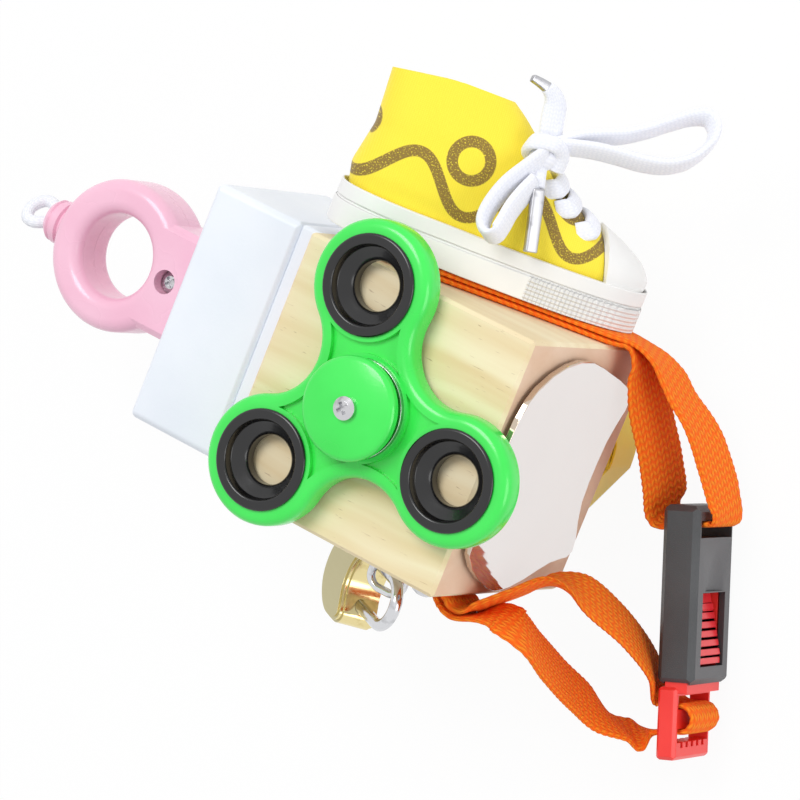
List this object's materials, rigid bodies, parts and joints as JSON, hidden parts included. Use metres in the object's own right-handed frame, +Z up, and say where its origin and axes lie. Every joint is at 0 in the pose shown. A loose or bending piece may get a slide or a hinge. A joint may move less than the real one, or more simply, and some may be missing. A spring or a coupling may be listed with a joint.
{
  "type": "activity cube",
  "caption": "Wooden activity cube with a spinner, a pull ring on a box, a laced shoe, a mirror, a padlock, a turning knob and a buckled strap for small hands.",
  "frame": {"origin": "centre of the flat face of the six-sided knob on which the cube lies", "axes": "+Z up, away from the rest face, along the spinner's axis; +X towards the mirror; +Y towards the shoe"},
  "size_m": [0.1944, 0.1402, 0.0891],
  "materials": {
    "pine": "sanded, clear coat",
    "green_plastic": "gloss",
    "black_ring": "gloss",
    "steel": "bright plated",
    "white_plastic": "satin",
    "grey_plastic": "matt",
    "white_cord": "braided",
    "pink_plastic": "gloss",
    "white_rubber": "matt, moulded",
    "yellow_canvas": "fine canvas with a brown printed border",
    "white_cloth": "woven",
    "lace": "flat braid",
    "aglet": "crimped sleeve",
    "mirror_face": "acrylic mirror",
    "foam": "foam tape",
    "chrome_wire": "plated wire",
    "lock_brass": "polished edges, satin faces",
    "orange_webbing": "woven tape",
    "buckle_black": "fine grain",
    "red_plastic": "gloss",
    "yellow_plastic": "gloss"
  },
  "bodies": {
    "cube": {"wood_block": "pine", "spinner_cap": "green_plastic", "spinner_screw": "steel", "spinner_spacer": "steel", "bearing_inner_race": "steel", "base_screws": "steel", "reel_axle": "steel", "reel_spring": "steel", "shoe_screws": "steel", "strap_screw": "steel", "strap_washer": "steel", "button_spring": "steel", "knob_screw": "steel", "knob_washer": "steel", "box_base": "white_plastic", "box_cover": "white_plastic", "cord_outlet": "white_plastic", "knob_bush": "white_plastic", "pull_cord": "white_cord", "shoe_sole": "white_rubber", "toe_cap": "white_rubber", "shoe_upper": "yellow_canvas", "shoe_tongue": "yellow_canvas", "shoe_insole": "white_cloth", "lace_crossings": "lace", "lace_knot": "lace", "lace_loop_right": "lace", "lace_loop_left": "lace", "lace_end_up": "lace", "lace_end_down": "lace", "lace_tip_up": "aglet", "lace_tip_down": "aglet", "mirror_plate": "mirror_face", "mirror_pad": "foam", "lock_staple": "chrome_wire", "upper_strap": "orange_webbing", "lower_strap": "orange_webbing", "buckle_housing": "buckle_black"},
    "spinner": {"spinner_body": "green_plastic", "weight_ring_1": "black_ring", "weight_ring_2": "black_ring", "weight_ring_3": "black_ring", "bearing_outer_race": "steel"},
    "balls": {"bearing_balls": "steel"},
    "pull_ring": {"ring_front_shell": "pink_plastic", "ring_rear_shell": "pink_plastic", "ring_screw": "steel", "ring_collar": "pink_plastic", "finger_loop": "white_cord"},
    "reel": {"cord_reel": "grey_plastic", "cord_winding": "white_cord"},
    "knob": {"hex_knob": "yellow_plastic"},
    "shackle": {"lock_shackle": "chrome_wire"},
    "lock": {"lock_body": "lock_brass"},
    "plug": {"lock_plug": "lock_brass"},
    "button": {"buckle_button": "red_plastic"},
    "clip": {"buckle_clip": "red_plastic"}
  },
  "joints": [
    {"name": "spinner_spin", "type": "hinge", "parent": "cube", "child": "spinner", "pos_m": [0.0004, 0.0012, 0.0795], "axis": [0, 0, 1], "continuous": true},
    {"name": "ball_roll", "type": "hinge", "parent": "cube", "child": "balls", "pos_m": [0.0004, 0.0012, 0.0795], "axis": [0, 0, 1], "continuous": true},
    {"name": "ring_pull", "type": "slide", "parent": "cube", "child": "pull_ring", "axis": [-1, 0, 0], "range_m": [0, 0.15], "stiffness_N_per_m": 8, "springref_m": -0.06, "deforming": ["pull_cord"]},
    {"name": "reel_spin", "type": "hinge", "parent": "cube", "child": "reel", "pos_m": [-0.046, -0.007, 0.045], "axis": [0, 0, 1], "range_deg": [0, 1240]},
    {"name": "knob_turn", "type": "hinge", "parent": "cube", "child": "knob", "pos_m": [0, 0, 0], "axis": [0, 0, 1], "continuous": true},
    {"name": "padlock_swing", "type": "hinge", "parent": "cube", "child": "shackle", "pos_m": [0.004, -0.0429, 0.045], "axis": [0, -1, 0], "range_deg": [0, 105]},
    {"name": "padlock_open", "type": "slide", "parent": "shackle", "child": "lock", "axis": [-0.7986, 0, -0.6018], "range_m": [0, 0.0065]},
    {"name": "key_turn", "type": "hinge", "parent": "lock", "child": "plug", "pos_m": [-0.01437, -0.0429, 0.03116], "axis": [0.7986, 0, 0.6018], "range_deg": [-90, 90]},
    {"name": "button_press", "type": "slide", "parent": "cube", "child": "button", "axis": [-0.9272, -0.3746, 0], "range_m": [0, 0.0012], "stiffness_N_per_m": 400, "springref_m": -0.0006, "deforming": ["button_spring"]},
    {"name": "clip_release", "type": "slide", "parent": "cube", "child": "clip", "axis": [0.3746, -0.9272, 0], "range_m": [0, 0.02], "deforming": ["lower_strap"]}
  ],
  "couplings": [
    {"joint": "ball_roll", "follows": "spinner_spin", "ratio": 0.632},
    {"joint": "reel_spin", "follows": "ring_pull", "rad_per_m": 142.86}
  ]
}
